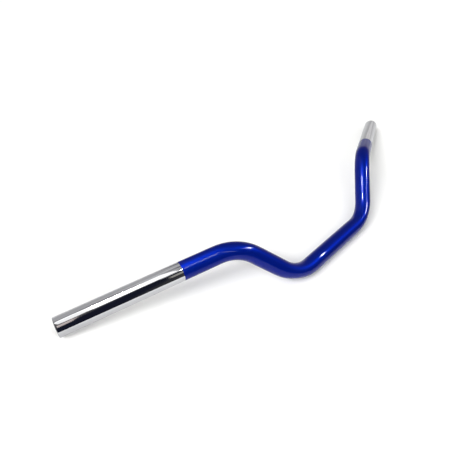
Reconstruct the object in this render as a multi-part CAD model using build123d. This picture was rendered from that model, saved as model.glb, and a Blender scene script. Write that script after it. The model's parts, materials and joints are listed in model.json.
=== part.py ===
from build123d import *
import os
from math import asin, atan2, cos, degrees, hypot, radians, sin

# A moped handlebar: one steel tube, bent four times, chrome plated all over,
# with a blue lacquer coat on everything between the two bare grip stretches.
# It lies on a flat surface, on its clamp run and on the rims of its two ends.
# +X runs along the clamp run, +Z is up, and the origin is the middle of the clamp run.
# All sizes are millimetres and degrees.

# Driving dimensions
TUBE_OD = 22.2            # 7/8 inch bar
TUBE_WALL = 2.0
CLAMP_RUN = 178.0         # corner to corner of the middle run
RISER_RUN = 101.0         # corner to corner of each riser
GRIP_RUN = 212.0          # outer corner to the cut end
RISE_ANGLE = 50.0         # riser against the clamp run
GRIP_LIFT_ANGLE = 6.0     # grip against the clamp run, in the risers' plane
GRIP_SWEEP_ANGLE = 21.5   # grip out of the risers' plane, towards the rider
BEND_RADIUS = 60.0        # centreline of all four bends
BARE_LENGTH = 140.0       # chrome left bare from each cut end
COAT_THICKNESS = 0.15     # primer, colour and clear layers together
END_CHAMFER = 0.5         # deburred edges of the cut ends

TUBE_RADIUS = TUBE_OD / 2
BORE_RADIUS = TUBE_RADIUS - TUBE_WALL
COAT_RADIUS = TUBE_RADIUS + COAT_THICKNESS


def grip_direction():
    """Unit vector of the +X grip, with the risers in the XZ plane."""
    lift = radians(GRIP_LIFT_ANGLE)
    sweep_back = radians(GRIP_SWEEP_ANGLE)
    return Vector(cos(lift) * cos(sweep_back), -cos(lift) * sin(sweep_back), sin(lift))


def corners():
    """The +X corners of the centreline: clamp run end, riser top and cut end."""
    rise = radians(RISE_ANGLE)
    inner = Vector(CLAMP_RUN / 2, 0, 0)
    outer = inner + Vector(cos(rise), 0, sin(rise)) * RISER_RUN
    return inner, outer, outer + grip_direction() * GRIP_RUN


def lying_angle():
    """Turn about X that brings the clamp run and both cut ends down to one level."""
    cut_end = corners()[2]
    level = atan2(cut_end.Z, -cut_end.Y)
    grip = grip_direction()
    slope = asin(grip.Y * sin(level) + grip.Z * cos(level))
    drop = COAT_RADIUS - TUBE_RADIUS * cos(slope)
    return degrees(level + asin(drop / hypot(cut_end.Y, cut_end.Z)))


def half_centreline(setback):
    """The +X half of the centreline, stopping the given length short of the cut end."""
    inner, outer, cut_end = corners()
    tip = cut_end - grip_direction() * setback
    return FilletPolyline((0, 0, 0), inner, outer, tip, radius=BEND_RADIUS)


def hollow_bar(outside, inside, setback):
    """A ring of the two radii swept along the whole centreline, one half mirrored."""
    ring = Plane.YZ * (Circle(outside) - Circle(inside))
    half = sweep(ring, path=half_centreline(setback))
    return half + mirror(half, about=Plane.YZ)


def make_tube():
    """The bent tube with its cut ends deburred inside and out."""
    tube = hollow_bar(TUBE_RADIUS, BORE_RADIUS, 0)
    end_zone = corners()[2].X - TUBE_OD / 2
    rims = [edge for edge in tube.edges().filter_by(GeomType.CIRCLE) if abs(edge.center().X) > end_zone]
    return chamfer(rims, END_CHAMFER)


def make_coat():
    """The lacquer coat, from one masking line to the other."""
    return hollow_bar(COAT_RADIUS, TUBE_RADIUS, BARE_LENGTH)


os.makedirs("parts", exist_ok=True)
LYING = Rot(X=lying_angle())
NODES = {"handlebar_tube": make_tube, "blue_coat": make_coat}
for name, make in NODES.items():
    export_step(LYING * make(), f"parts/{name}.step")
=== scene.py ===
import json
import math
from collections import namedtuple

import bpy
from mathutils import Matrix, Vector


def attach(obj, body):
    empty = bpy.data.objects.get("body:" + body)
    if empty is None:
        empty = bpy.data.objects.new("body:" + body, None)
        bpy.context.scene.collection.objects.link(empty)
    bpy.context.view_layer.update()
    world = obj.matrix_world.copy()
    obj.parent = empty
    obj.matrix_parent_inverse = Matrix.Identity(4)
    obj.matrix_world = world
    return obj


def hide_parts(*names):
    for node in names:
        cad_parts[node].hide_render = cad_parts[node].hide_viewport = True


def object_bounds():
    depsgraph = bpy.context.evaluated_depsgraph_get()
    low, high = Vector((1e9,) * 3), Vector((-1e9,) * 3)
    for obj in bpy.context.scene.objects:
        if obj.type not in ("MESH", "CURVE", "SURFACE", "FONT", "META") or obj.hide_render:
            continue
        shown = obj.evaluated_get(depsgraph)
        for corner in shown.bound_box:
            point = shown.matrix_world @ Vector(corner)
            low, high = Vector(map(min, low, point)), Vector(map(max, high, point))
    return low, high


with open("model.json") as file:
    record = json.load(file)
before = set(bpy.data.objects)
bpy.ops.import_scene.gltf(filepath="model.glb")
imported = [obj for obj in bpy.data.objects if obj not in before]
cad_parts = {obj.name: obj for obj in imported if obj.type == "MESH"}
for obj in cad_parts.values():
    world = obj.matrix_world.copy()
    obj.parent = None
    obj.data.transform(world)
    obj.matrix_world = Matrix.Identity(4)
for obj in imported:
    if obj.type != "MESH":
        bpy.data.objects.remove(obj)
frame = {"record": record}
cad_low, cad_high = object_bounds()

# A moped handlebar lying on white paper: a chrome tube with a blue lacquer coat between its bare ends.

# ---------------------------------------------------------------- sizes, metres and degrees
TUBE_RADIUS = 0.0111
TUBE_WALL = 0.0020
BORE_RADIUS = TUBE_RADIUS - TUBE_WALL
COAT_THICKNESS = 0.00012     # a little less than in the CAD, so the coat stays inside its box
COAT_GAP = 0.00001           # between the coat's inside and the tube
OUTER_LIP = 0.00085          # rounding of the cut ends' outer edges
BORE_LIP = 0.0005            # rounding of the cut ends' inner edges
CUT_INSET = 0.00005          # polished off the cut faces
CLAMP_RUN = 0.178            # corner to corner of the middle run
GRIP_RUN = 0.212             # outer corner to the cut end
SEAT_FROM_CUT = 0.070        # the stated grip seat is this far in from the cut end
BEND_RADIUS = 0.060          # centreline of all four bends
BARE_LENGTH = 0.140          # chrome left bare from each cut end
MASK_TAPER = 0.0004          # the coat thins out over this length at the masking lines
MASK_EDGE = ((0.0, 0.35), (0.25, 0.80), (0.6, 0.96), (1.0, 1.0))   # (share of length, of thickness)
OUTER_BEND_SQUASH = 0.05     # share of the radius lost on the outside of a grip bend's middle
INNER_BEND_SQUASH = 0.19     # the same for the bends at the clamp run
INSIDE_SHARE = 0.15          # the inside of a bend loses this share of that
BEND_SPILL = 0.25            # the flattening reaches this share of the bend's length beyond each end

BEND_STEPS = 40              # steps along a bend
RUN_STEP = 0.003             # length of a step along a straight run
LIP_STEPS = 6                # steps in the quarter turn of a lip
SIDES = 96                   # points round the tube

FLOOR_GAP = 0.00001          # between the floor and the part's lowest point
FLOOR_REACH = 3.0            # the paper ends this far out on three sides
FLOOR_EDGE = 0.28            # and this far out towards +Y

BODY = "root"
TUBE_NODE = "handlebar_tube"
COAT_NODE = "blue_coat"
MOUNTS = {m["name"]: m for m in frame["record"]["mounts"]}

# inward is the side that a bend turns to, and squash is how much it flattens the tube
Bend = namedtuple("Bend", "inward length squash")
Station = namedtuple("Station", "point direction inward squash")
Ring = namedtuple("Ring", "point direction side up inward squash")


# ---------------------------------------------------------------- the bar's line
def corner_points():
    """The centreline's six corners, left cut end to right cut end, from the stated mounts."""
    seat = MOUNTS["right_grip_seat"]
    along = Vector(seat["axis"]).normalized()
    tip = Vector(seat["pos_m"]) + along * SEAT_FROM_CUT
    inner = Vector((CLAMP_RUN / 2, 0, 0))
    outer = tip - along * GRIP_RUN
    right = [inner, outer, tip]
    left = [Vector((-p.x, p.y, p.z)) for p in reversed(right)]
    return left + right


def bend_squash(distance, bend):
    """Flattening at a distance past the bend's start. It begins and ends a little outside the bend."""
    spill = BEND_SPILL * bend.length
    share = (distance + spill) / (bend.length + 2 * spill)
    return bend.squash * math.sin(math.pi * share) ** 2 if 0 < share < 1 else 0.0


def add_run(stations, start, end, past, coming):
    """A straight run from the bend before it to the bend after it. At a cut end, one of them is None."""
    length = (end - start).length
    direction = (end - start).normalized()
    count = round(length / RUN_STEP)
    for i in range(count + 1):
        distance = length * i / count
        near_past = coming is None or (past is not None and distance < length / 2)
        bend = past if near_past else coming
        squash = bend_squash(bend.length + distance if near_past else distance - length, bend)
        stations.append(Station(start + direction * distance, direction, bend.inward, squash))


def add_bend(stations, start, direction, axis, turn, bend):
    """An arc without its two end points, which belong to the runs."""
    centre = start + bend.inward * BEND_RADIUS
    for i in range(1, BEND_STEPS):
        spin = Matrix.Rotation(turn * i / BEND_STEPS, 3, axis)
        point = centre + spin @ (start - centre)
        squash = bend_squash(bend.length * i / BEND_STEPS, bend)
        stations.append(Station(point, spin @ direction, spin @ bend.inward, squash))


def bar_line(short):
    """Stations along the line, which stops the given length short of each cut end."""
    corners = corner_points()
    corners[0] = corners[0] + (corners[1] - corners[0]).normalized() * short
    corners[-1] = corners[-1] + (corners[-2] - corners[-1]).normalized() * short
    stations = []
    here, past = corners[0], None
    squashes = (OUTER_BEND_SQUASH, INNER_BEND_SQUASH, INNER_BEND_SQUASH, OUTER_BEND_SQUASH)
    for before, corner, after, squash in zip(corners, corners[1:], corners[2:], squashes):
        incoming = (corner - before).normalized()
        outgoing = (after - corner).normalized()
        turn = incoming.angle(outgoing)
        setback = BEND_RADIUS * math.tan(turn / 2)
        axis = incoming.cross(outgoing).normalized()
        begin = corner - incoming * setback
        bend = Bend(axis.cross(incoming), BEND_RADIUS * turn, squash)
        add_run(stations, here, begin, past, bend)
        add_bend(stations, begin, incoming, axis, turn, bend)
        here = corner + outgoing * setback
        past = Bend(axis.cross(outgoing), bend.length, squash)
    add_run(stations, here, corners[-1], past, None)
    return stations


def running_lengths(stations, start):
    """Distance from the left cut end at each station."""
    lengths = [start]
    for before, after in zip(stations, stations[1:]):
        lengths.append(lengths[-1] + (after.point - before.point).length)
    return lengths


def rings(stations):
    """Gives each station a crosswise pair of axes, carried along so that they turn little."""
    up = Vector((0, 0, 1))
    out = []
    for point, direction, inward, squash in stations:
        side = direction.cross(up).normalized()
        up = side.cross(direction).normalized()
        out.append(Ring(point, direction, side, up, inward, squash))
    return out


# ---------------------------------------------------------------- skins over the line
def shrink(squash, across):
    """Radius factor. across runs from -1 on the outside of the bend to 1 on its inside."""
    share = across * across * (0.5 * (1 + INSIDE_SHARE) - 0.5 * (1 - INSIDE_SHARE) * across)
    return 1 - squash * share


def ring_points(ring, radius, extra=0.0, ahead=0.0):
    """Points round the line. The bend flattens the radius, but not the extra on top of it."""
    points = []
    for k in range(SIDES):
        angle = 2 * math.pi * k / SIDES
        out = ring.side * math.cos(angle) + ring.up * math.sin(angle)
        reach = radius * shrink(ring.squash, out.dot(ring.inward)) + extra
        points.append(ring.point + ring.direction * ahead + out * reach)
    return points


def new_object(name, loops, materials, lengths, slots):
    """A closed mesh skinned over loops of SIDES points. Its UV map is metres along and turns around."""
    verts = [p for loop in loops for p in loop]
    faces = []
    count = len(loops)
    for i in range(count):
        j = (i + 1) % count
        for k in range(SIDES):
            m = (k + 1) % SIDES
            faces.append((i * SIDES + k, j * SIDES + k, j * SIDES + m, i * SIDES + m))
    mesh = bpy.data.meshes.new(name)
    mesh.from_pydata([v[:] for v in verts], [], faces)
    for material in materials:
        mesh.materials.append(material)
    mesh.polygons.foreach_set("use_smooth", [True] * len(faces))
    mesh.polygons.foreach_set("material_index", [slots[f // SIDES] for f in range(len(faces))])
    layer = mesh.uv_layers.new(name="along_around")
    for poly in mesh.polygons:
        i, k = divmod(poly.index, SIDES)
        j = i + 1
        along = (lengths[i], lengths[j], lengths[j], lengths[i])
        around = (k / SIDES, k / SIDES, (k + 1) / SIDES, (k + 1) / SIDES)
        for loop_index, u, v in zip(poly.loop_indices, along, around):
            layer.data[loop_index].uv = (u, v)
    mesh.validate()
    mesh.update()
    obj = bpy.data.objects.new(name, mesh)
    bpy.context.scene.collection.objects.link(obj)
    return obj


# ---------------------------------------------------------------- node helpers
def node_material(name):
    material = bpy.data.materials.new(name)
    material.use_nodes = True
    nodes = material.node_tree.nodes
    return material, nodes, material.node_tree.links, nodes["Principled BSDF"]


def noise(nodes, links, vector, scale, detail=2.0):
    node = nodes.new("ShaderNodeTexNoise")
    node.inputs["Scale"].default_value = scale
    node.inputs["Detail"].default_value = detail
    links.new(vector, node.inputs["Vector"])
    return node.outputs["Fac"]


def ramp(nodes, links, value, stops):
    """A colour ramp through (position, colour) stops."""
    node = nodes.new("ShaderNodeValToRGB")
    links.new(value, node.inputs["Fac"])
    elements = node.color_ramp.elements
    while len(elements) < len(stops):
        elements.new(0.5)
    for element, (position, colour) in zip(elements, stops):
        element.position = position
        element.color = (*colour, 1.0)
    return node.outputs["Color"]


def mottled(nodes, links, value, dark, light):
    """Between two colours, over the middle of a noise's range."""
    return ramp(nodes, links, value, [(0.3, dark), (0.7, light)])


def mix_colour(nodes, links, blend, factor, first, second):
    """A colour Mix node. factor, first and second are sockets or plain values."""
    node = nodes.new("ShaderNodeMix")
    node.data_type = "RGBA"
    node.blend_type = blend
    colour_inputs = [i for i in node.inputs if i.type == "RGBA"]
    for socket, value in zip((node.inputs[0], *colour_inputs), (factor, first, second)):
        if isinstance(value, bpy.types.NodeSocket):
            links.new(value, socket)
        else:
            socket.default_value = value
    return next(o for o in node.outputs if o.type == "RGBA")


def value_range(nodes, links, value, low, high, from_low=0.0, from_high=1.0):
    """Maps a value from one range to another, clamped at both ends."""
    node = nodes.new("ShaderNodeMapRange")
    node.inputs["From Min"].default_value = from_low
    node.inputs["From Max"].default_value = from_high
    node.inputs["To Min"].default_value = low
    node.inputs["To Max"].default_value = high
    links.new(value, node.inputs["Value"])
    return node.outputs["Result"]


def stretched(nodes, links, scale):
    """Coordinates along and around the tube, scaled so that noise makes lengthwise marks."""
    uv = nodes.new("ShaderNodeUVMap")
    uv.uv_map = "along_around"
    mapping = nodes.new("ShaderNodeMapping")
    mapping.inputs["Scale"].default_value = scale
    links.new(uv.outputs["UV"], mapping.inputs["Vector"])
    return mapping.outputs["Vector"]


def object_coordinates(nodes):
    return nodes.new("ShaderNodeTexCoord").outputs["Object"]


def bump(nodes, links, height, strength, distance):
    node = nodes.new("ShaderNodeBump")
    node.inputs["Strength"].default_value = strength
    node.inputs["Distance"].default_value = distance
    links.new(height, node.inputs["Height"])
    return node.outputs["Normal"]


# ---------------------------------------------------------------- materials
def chrome_material():
    """Bright chrome plate with faint polishing marks and a little haze."""
    material, nodes, links, shader = node_material("chrome_plate")
    place = object_coordinates(nodes)
    marks = noise(nodes, links, stretched(nodes, links, (40.0, 60.0, 1.0)), scale=4.0, detail=4.0)
    haze = noise(nodes, links, place, scale=45.0, detail=3.0)
    tone = mottled(nodes, links, haze, dark=(0.555, 0.560, 0.570), light=(0.600, 0.602, 0.608))
    links.new(tone, shader.inputs["Base Color"])
    links.new(value_range(nodes, links, marks, low=0.025, high=0.065), shader.inputs["Roughness"])
    links.new(bump(nodes, links, marks, strength=0.03, distance=0.0001), shader.inputs["Normal"])
    shader.inputs["Metallic"].default_value = 1.0
    return material


def bore_material():
    """The bare inner wall: dull drawn steel."""
    material, nodes, links, shader = node_material("bare_steel_bore")
    place = object_coordinates(nodes)
    streaks = noise(nodes, links, stretched(nodes, links, (25.0, 30.0, 1.0)), scale=3.0, detail=4.0)
    tone = mottled(nodes, links, streaks, dark=(0.10, 0.095, 0.09), light=(0.24, 0.23, 0.22))
    links.new(tone, shader.inputs["Base Color"])
    grain = noise(nodes, links, place, scale=300.0)
    links.new(value_range(nodes, links, grain, low=0.35, high=0.6), shader.inputs["Roughness"])
    links.new(bump(nodes, links, streaks, strength=0.3, distance=0.0002), shader.inputs["Normal"])
    shader.inputs["Metallic"].default_value = 1.0
    return material


def lacquer_material():
    """Translucent blue over a bright metallic base with fine flake, under a clear top coat."""
    material, nodes, links, shader = node_material("blue_lacquer")
    place = object_coordinates(nodes)
    flake = nodes.new("ShaderNodeTexVoronoi")
    flake.inputs["Scale"].default_value = 4500.0
    links.new(place, flake.inputs["Vector"])
    depth = noise(nodes, links, place, scale=18.0)
    tone = mottled(nodes, links, depth, dark=(0.0004, 0.0085, 0.185), light=(0.0006, 0.0115, 0.227))
    sparkle = mix_colour(nodes, links, "MULTIPLY", 0.15, tone, flake.outputs["Color"])
    links.new(sparkle, shader.inputs["Base Color"])
    grain = noise(nodes, links, place, scale=900.0)
    links.new(value_range(nodes, links, grain, low=0.40, high=0.48), shader.inputs["Roughness"])
    peel = noise(nodes, links, place, scale=350.0)
    links.new(bump(nodes, links, peel, strength=0.04, distance=0.0002), shader.inputs["Coat Normal"])
    shader.inputs["Metallic"].default_value = 0.5
    shader.inputs["Specular IOR Level"].default_value = 0.0
    shader.inputs["Specular Tint"].default_value = (0.02, 0.08, 0.6, 1.0)
    shader.inputs["Coat Weight"].default_value = 1.0
    shader.inputs["Coat Roughness"].default_value = 0.02
    shader.inputs["Coat IOR"].default_value = 1.25
    return material


# ---------------------------------------------------------------- the tube
def lip():
    """Rounded edges of a cut end: (radius, distance short of the cut) pairs, outside to inside."""
    pairs = []
    turns = [math.pi / 2 * i / LIP_STEPS for i in range(LIP_STEPS + 1)]
    for a in turns:
        pairs.append((TUBE_RADIUS - OUTER_LIP * (1 - math.cos(a)), OUTER_LIP * (1 - math.sin(a))))
    for a in turns:
        pairs.append((BORE_RADIUS + BORE_LIP * (1 - math.sin(a)), BORE_LIP * (1 - math.cos(a))))
    return pairs


def make_tube():
    """One closed skin: the outer wall, the right lip, back along the bore, and the left lip."""
    short_of_cut = OUTER_LIP + CUT_INSET
    stations = rings(bar_line(short_of_cut))
    along = running_lengths(stations, short_of_cut)
    end_lip = lip()[1:]      # its first pair is the outer wall's own end
    loops = [ring_points(ring, TUBE_RADIUS) for ring in stations]
    lengths = list(along)
    for radius, short in end_lip:
        loops.append(ring_points(stations[-1], radius, ahead=OUTER_LIP - short))
        lengths.append(along[-1] + OUTER_LIP - short)
    for ring, length in zip(reversed(stations), reversed(along)):
        loops.append(ring_points(ring, BORE_RADIUS))
        lengths.append(length)
    for radius, short in reversed(end_lip):
        loops.append(ring_points(stations[0], radius, ahead=short - OUTER_LIP))
        lengths.append(along[0] - OUTER_LIP + short)
    lengths.append(along[0])
    bore_start = len(stations) + len(end_lip)
    bore_end = bore_start + len(stations) - 1
    slots = [1 if bore_start <= i < bore_end else 0 for i in range(len(loops))]
    materials = [chrome_material(), bore_material()]
    return new_object("bent_chrome_tube", loops, materials, lengths, slots)


# ---------------------------------------------------------------- the coat
def make_coat():
    """A closed skin round the tube, thinning out towards each masking line."""
    stations = rings(bar_line(BARE_LENGTH))
    along = running_lengths(stations, BARE_LENGTH)
    loops, lengths = [], []
    for share, thick in MASK_EDGE:
        loops.append(ring_points(stations[0], TUBE_RADIUS, COAT_THICKNESS * thick, MASK_TAPER * share))
        lengths.append(along[0] + MASK_TAPER * share)
    for ring, length in zip(stations[1:-1], along[1:-1]):
        loops.append(ring_points(ring, TUBE_RADIUS, COAT_THICKNESS))
        lengths.append(length)
    for share, thick in reversed(MASK_EDGE):
        loops.append(ring_points(stations[-1], TUBE_RADIUS, COAT_THICKNESS * thick, -MASK_TAPER * share))
        lengths.append(along[-1] - MASK_TAPER * share)
    for ring, length in zip(reversed(stations), reversed(along)):
        loops.append(ring_points(ring, TUBE_RADIUS, COAT_GAP))
        lengths.append(length)
    lengths.append(along[0])
    slots = [0] * len(loops)
    return new_object("blue_lacquer_coat", loops, [lacquer_material()], lengths, slots)


tube = make_tube()
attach(tube, BODY)
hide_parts(TUBE_NODE)
coat = make_coat()
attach(coat, BODY)
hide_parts(COAT_NODE)


# ---------------------------------------------------------------- floor
def make_floor():
    """A sheet of white paper. Shiny surfaces see painted shade on it, greyer towards -Y."""
    height = cad_low.z - FLOOR_GAP
    mesh = bpy.data.meshes.new("studio_floor")
    low_edge = [(-FLOOR_REACH, -FLOOR_REACH, height), (FLOOR_REACH, -FLOOR_REACH, height)]
    high_edge = [(FLOOR_REACH, FLOOR_EDGE, height), (-FLOOR_REACH, FLOOR_EDGE, height)]
    mesh.from_pydata(low_edge + high_edge, [], [(0, 1, 2, 3)])
    material, nodes, links, shader = node_material("white_paper")
    split = nodes.new("ShaderNodeSeparateXYZ")
    links.new(object_coordinates(nodes), split.inputs["Vector"])
    across = value_range(nodes, links, split.outputs["Y"], 0.0, 1.0, from_low=-0.30, from_high=0.05)
    # painted shade for reflections only: shiny surfaces see the paper darker towards -Y, while the camera
    # and diffuse light see it evenly white
    reflected_painted_shade = ramp(nodes, links, across, [(0.0, (0.50, 0.50, 0.51)), (1.0, (0.88, 0.88, 0.89))])
    path = nodes.new("ShaderNodeLightPath")
    paper = (0.965, 0.965, 0.952, 1.0)
    tone = mix_colour(nodes, links, "MIX", path.outputs["Is Glossy Ray"], paper, reflected_painted_shade)
    links.new(tone, shader.inputs["Base Color"])
    shader.inputs["Roughness"].default_value = 1.0
    shader.inputs["Specular IOR Level"].default_value = 0.0
    mesh.materials.append(material)
    floor = bpy.data.objects.new("studio_floor", mesh)
    bpy.context.scene.collection.objects.link(floor)
    return floor


floor = make_floor()


# ---------------------------------------------------------------- lights
def make_area(name, centre, size, radiance, turn=0.0, colour=(1, 1, 1), upright=False):
    """A soft box facing down, turned about Z, or upright and facing +Y. Only shiny surfaces see it."""
    light = bpy.data.lights.new(name, "AREA")
    light.shape = "RECTANGLE"
    light.size, light.size_y = size
    light.energy = radiance * math.pi * size[0] * size[1]
    light.color = colour
    obj = bpy.data.objects.new(name, light)
    obj.location = centre
    obj.rotation_euler = (math.pi / 2 if upright else 0, 0, math.radians(turn))
    obj.visible_camera = False
    obj.visible_diffuse = False
    bpy.context.scene.collection.objects.link(obj)


def add_floor_light(light, place, direction):
    """A light for the floor and for matt surfaces. The chrome mirrors the lit floor, but not the light."""
    obj = bpy.data.objects.new(light.name, light)
    obj.location = place
    obj.rotation_mode = "QUATERNION"
    obj.rotation_quaternion = direction.to_track_quat("-Z", "Y")
    obj.visible_camera = False
    obj.visible_glossy = False
    bpy.context.scene.collection.objects.link(obj)


# two boxes over the +X half make the white band on its chrome
make_area("overhead_soft_box", (0.416, -0.320, 1.35), (0.36, 1.02), 1.4, turn=-15)
make_area("overhead_side_box", (0.620, -0.500, 1.36), (0.42, 0.96), 1.4, turn=4)
# small hot lamps just below them make a streak on the -X riser and a sheen beside the +X grip
make_area("overhead_core", (0.40, -0.560, 1.34), (0.075, 0.24), 110.0, turn=31)
make_area("overhead_lamp", (0.430, -0.440, 1.33), (0.04, 0.09), 900.0, turn=31)
make_area("overhead_fill", (0.470, -0.270, 1.34), (0.10, 0.12), 250.0)
# dim panels above and round the boxes lighten the grey beside the band
make_area("overhead_skirt", (0.34, -1.16, 1.71), (0.74, 0.36), 0.55)
make_area("overhead_side_skirt", (0.62, -1.22, 1.71), (0.36, 0.32), 0.5)
make_area("overhead_edge", (0.25, -0.41, 1.71), (0.20, 0.90), 0.35, turn=-15)
make_area("overhead_front", (0.44, 0.33, 1.71), (0.16, 0.50), 0.5, turn=-15)
# strips and panels further out
make_area("ceiling_strip", (0.30, 0.385, 1.70), (0.24, 0.06), 70.0, turn=-12)
make_area("rear_strip", (0.03, 1.50, 1.70), (0.10, 1.90), 10.0, turn=6)
make_area("rear_wall", (0.25, -2.0, 1.10), (1.90, 2.20), 0.38, upright=True)
make_area("rear_panel", (-0.22, -1.45, 1.69), (0.50, 0.80), 0.33)
make_area("side_reflector", (1.216, 0.60, 1.70), (0.25, 0.85), 0.75, turn=-22, colour=(1.0, 0.86, 0.82))
make_area("side_panel", (0.73, 1.70, 1.70), (0.11, 1.30), 0.40, turn=-11, colour=(1.0, 0.97, 0.86))
# a row of lamps beyond the -X end: streaks on the +X grip's bend and the -X riser, dots on the clamp run
make_area("lamp_row_small", (-0.82, 0.78, 1.70), (0.10, 0.10), 45.0)
make_area("lamp_row_near", (-1.145, 0.82, 1.70), (0.23, 0.10), 190.0)
make_area("lamp_row_far", (-1.44, 0.80, 1.70), (0.34, 0.09), 270.0)
make_area("lamp_row_bright", (-1.823, 0.61, 1.70), (0.03, 0.09), 850.0)
make_area("lamp_row_last", (-1.885, 0.72, 1.70), (0.022, 0.09), 420.0)

sun = bpy.data.lights.new("key_sun", "SUN")
sun.energy = 2.5
sun.angle = math.radians(24)
add_floor_light(sun, Vector((0, 0, 1)), Vector((-1.20, 0.22, -1.0)))

# lightens the shadow under the +X half of the bar
fill = bpy.data.lights.new("grip_fill", "AREA")
fill.shape = "RECTANGLE"
fill.size, fill.size_y = 0.40, 0.30
fill.energy = 1.4
fill_place = Vector((0.42, 0.36, 0.38))
add_floor_light(fill, fill_place, Vector((0.27, -0.06, 0)) - fill_place)


# ---------------------------------------------------------------- surroundings
SKY_STRENGTH = 0.58          # of the white that lights the floor
BLACK = (0, 0, 0)
WHITE = (1, 1, 1)
# what shiny surfaces see around them, at degrees from +X towards +Y
WALLS = (
    (-180, (0.20, 0.20, 0.21)), (-134, (0.16, 0.16, 0.17)), (-112, (0.20, 0.20, 0.22)),
    (-90, (0.18, 0.18, 0.20)), (-60, (0.10, 0.10, 0.11)), (0, (0.16, 0.15, 0.15)),
    (36, (0.12, 0.12, 0.13)), (52, (0.012, 0.014, 0.03)), (72, (0.012, 0.014, 0.028)),
    (80, (0.06, 0.06, 0.065)), (95, (0.05, 0.05, 0.06)), (179, (0.18, 0.18, 0.19)),
)
# a pale wall low down on the -X side: where it stands, and its glow against the sine of the elevation
PALE_WALL = ((-180, WHITE), (-150, WHITE), (-132, BLACK), (165, BLACK), (180, WHITE))
PALE_WALL_GLOW = (
    (0.0, (0.66, 0.65, 0.65)), (0.05, (0.48, 0.44, 0.44)), (0.16, (0.30, 0.20, 0.19)), (0.28, BLACK),
)


def round_the_room(stops):
    """Stops in degrees from +X as shares of a full turn from -X."""
    return [((degrees + 180) / 360, colour) for degrees, colour in stops]


def background(nodes, colour, strength=1.0):
    """A plain background shader."""
    node = nodes.new("ShaderNodeBackground")
    node.inputs["Color"].default_value = (*colour, 1.0)
    node.inputs["Strength"].default_value = strength
    return node


def choose(nodes, links, condition, otherwise, shader):
    """One shader for the rays that the condition holds for, and another for the rest."""
    mix = nodes.new("ShaderNodeMixShader")
    links.new(condition, mix.inputs[0])
    links.new(otherwise.outputs[0], mix.inputs[1])
    links.new(shader.outputs[0], mix.inputs[2])
    return mix


def make_world():
    """A white room for the camera and the floor. Shiny surfaces see its dark and grey sides."""
    world = bpy.data.worlds.new("studio")
    world.use_nodes = True
    bpy.context.scene.world = world
    nodes, links = world.node_tree.nodes, world.node_tree.links
    nodes.clear()
    split = nodes.new("ShaderNodeSeparateXYZ")
    links.new(nodes.new("ShaderNodeTexCoord").outputs["Generated"], split.inputs["Vector"])
    azimuth = nodes.new("ShaderNodeMath")
    azimuth.operation = "ARCTAN2"
    links.new(split.outputs["Y"], azimuth.inputs[0])
    links.new(split.outputs["X"], azimuth.inputs[1])
    turn = value_range(nodes, links, azimuth.outputs[0], 0.0, 1.0, from_low=-math.pi, from_high=math.pi)
    walls = ramp(nodes, links, turn, round_the_room(WALLS))
    pale_side = ramp(nodes, links, turn, round_the_room(PALE_WALL))
    pale_height = ramp(nodes, links, split.outputs["Z"], PALE_WALL_GLOW)
    pale_wall = mix_colour(nodes, links, "MULTIPLY", 1.0, pale_side, pale_height)
    room = nodes.new("ShaderNodeBackground")
    links.new(mix_colour(nodes, links, "ADD", 1.0, walls, pale_wall), room.inputs["Color"])
    path = nodes.new("ShaderNodeLightPath")
    sky = background(nodes, WHITE, SKY_STRENGTH)
    lighting = choose(nodes, links, path.outputs["Is Glossy Ray"], sky, room)
    seen = choose(nodes, links, path.outputs["Is Camera Ray"], lighting, background(nodes, WHITE))
    out = nodes.new("ShaderNodeOutputWorld")
    links.new(seen.outputs[0], out.inputs["Surface"])


make_world()

# ---------------------------------------------------------------- camera
camera_data = bpy.data.cameras.new("camera")
camera_data.sensor_width = 36.0
camera_data.lens = 36.683
camera_data.clip_start = 0.01
camera_data.clip_end = 50.0
camera = bpy.data.objects.new("camera", camera_data)
camera.location = (0.484351, 0.110055, 0.423580)
camera.rotation_mode = "QUATERNION"
camera.rotation_quaternion = (0.338917, 0.2428883, 0.3133822, 0.8531894)
bpy.context.scene.collection.objects.link(camera)
bpy.context.scene.camera = camera
bpy.context.scene.view_settings.view_transform = "Standard"
